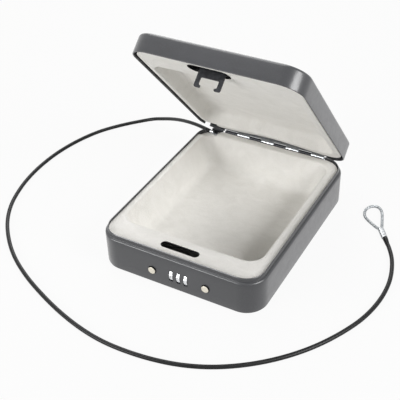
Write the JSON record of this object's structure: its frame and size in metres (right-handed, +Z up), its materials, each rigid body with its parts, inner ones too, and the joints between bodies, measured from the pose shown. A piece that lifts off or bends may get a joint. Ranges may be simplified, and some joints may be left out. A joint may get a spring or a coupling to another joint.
{
  "type": "portable car safe",
  "caption": "Flat steel lock box with a hinged lid, flocked trays, a number-dial lock with two push buttons, and a steel cable that ends in a wire eye.",
  "frame": {"origin": "middle of the flat underside of the base", "axes": "+Z up, -Y towards the dials, +X to the right of someone who faces the dials"},
  "size_m": [0.4687, 0.373, 0.2361],
  "materials": {
    "gunmetal": "fine textured gunmetal powder coat on steel sheet",
    "flocking": "pale grey flocking on a vacuum formed tray",
    "dark_steel": "blackened pressed steel",
    "hinge_steel": "rolled hinge steel, dull",
    "zinc": "bright zinc plating",
    "dial": "satin chrome with cut number marks",
    "button": "satin nickel",
    "coating": "black vinyl over steel rope",
    "aluminium": "pressed aluminium",
    "wire": "bare steel rope"
  },
  "bodies": {
    "base": {"base_shell": "gunmetal", "cable_anchor_bracket": "gunmetal", "base_liner": "flocking", "hinge_rivet_base_1": "dark_steel", "hinge_rivet_base_2": "dark_steel", "hinge_rivet_base_3": "dark_steel", "hinge_leaf_base": "hinge_steel", "hinge_pin": "hinge_steel", "lock_frame": "zinc", "frame_nut_1": "zinc", "frame_nut_2": "zinc", "dial_shaft": "zinc", "shaft_clip": "zinc", "detent_spring": "zinc", "button_spring_left": "zinc", "button_spring_right": "zinc", "bolt_spring_left": "zinc", "bolt_spring_right": "zinc", "bolt_rivet_left": "zinc", "bolt_rivet_right": "zinc", "latch_bracket": "zinc", "bracket_nut_1": "zinc", "bracket_nut_2": "zinc", "cable_eyelet": "zinc", "cable_rivet": "zinc", "cable": "coating", "cable_collar": "coating", "cable_ferrule": "aluminium", "cable_eye": "wire"},
    "lid": {"lid_shell": "gunmetal", "lid_liner": "flocking", "hinge_leaf_lid": "hinge_steel", "latch_hook": "dark_steel", "hook_nut_1": "zinc", "hook_nut_2": "zinc", "hinge_rivet_lid_1": "dark_steel", "hinge_rivet_lid_2": "dark_steel", "hinge_rivet_lid_3": "dark_steel"},
    "dial_1": {"dial_wheel_1": "dial", "dial_sleeve_1": "zinc"},
    "dial_2": {"dial_wheel_2": "dial", "dial_sleeve_2": "zinc"},
    "dial_3": {"dial_wheel_3": "dial", "dial_sleeve_3": "zinc"},
    "button_left": {"push_button_left": "button"},
    "bolt_left": {"latch_bolt_left": "zinc"},
    "button_right": {"push_button_right": "button"},
    "bolt_right": {"latch_bolt_right": "zinc"}
  },
  "joints": [
    {"name": "lid_hinge", "type": "hinge", "parent": "base", "child": "lid", "pos_m": [0.001, 0.1203, 0.0413], "axis": [-1, 0, 0], "range_deg": [-49.2, 45.8]},
    {"name": "dial_1_turn", "type": "hinge", "parent": "base", "child": "dial_1", "pos_m": [-0.0045, -0.1115, 0.0178], "axis": [1, 0, 0], "continuous": true},
    {"name": "dial_2_turn", "type": "hinge", "parent": "base", "child": "dial_2", "pos_m": [0.00415, -0.1115, 0.0178], "axis": [1, 0, 0], "continuous": true},
    {"name": "dial_3_turn", "type": "hinge", "parent": "base", "child": "dial_3", "pos_m": [0.0128, -0.1115, 0.0178], "axis": [1, 0, 0], "continuous": true},
    {"name": "button_left_press", "type": "slide", "parent": "base", "child": "button_left", "axis": [0, 1, 0], "range_m": [0, 0.003], "stiffness_N_per_m": 600, "springref_m": -0.004, "deforming": ["button_spring_left"]},
    {"name": "bolt_left_slide", "type": "slide", "parent": "base", "child": "bolt_left", "axis": [1, 0, 0], "range_m": [0, 0.003], "stiffness_N_per_m": 200, "springref_m": -0.003, "deforming": ["bolt_spring_left"]},
    {"name": "button_right_press", "type": "slide", "parent": "base", "child": "button_right", "axis": [0, 1, 0], "range_m": [0, 0.003], "stiffness_N_per_m": 600, "springref_m": -0.004, "deforming": ["button_spring_right"]},
    {"name": "bolt_right_slide", "type": "slide", "parent": "base", "child": "bolt_right", "axis": [-1, 0, 0], "range_m": [0, 0.003], "stiffness_N_per_m": 200, "springref_m": -0.003, "deforming": ["bolt_spring_right"]}
  ],
  "couplings": [
    {"joint": "bolt_left_slide", "follows": "button_left_press", "ratio": 1},
    {"joint": "bolt_right_slide", "follows": "button_right_press", "ratio": 1}
  ]
}
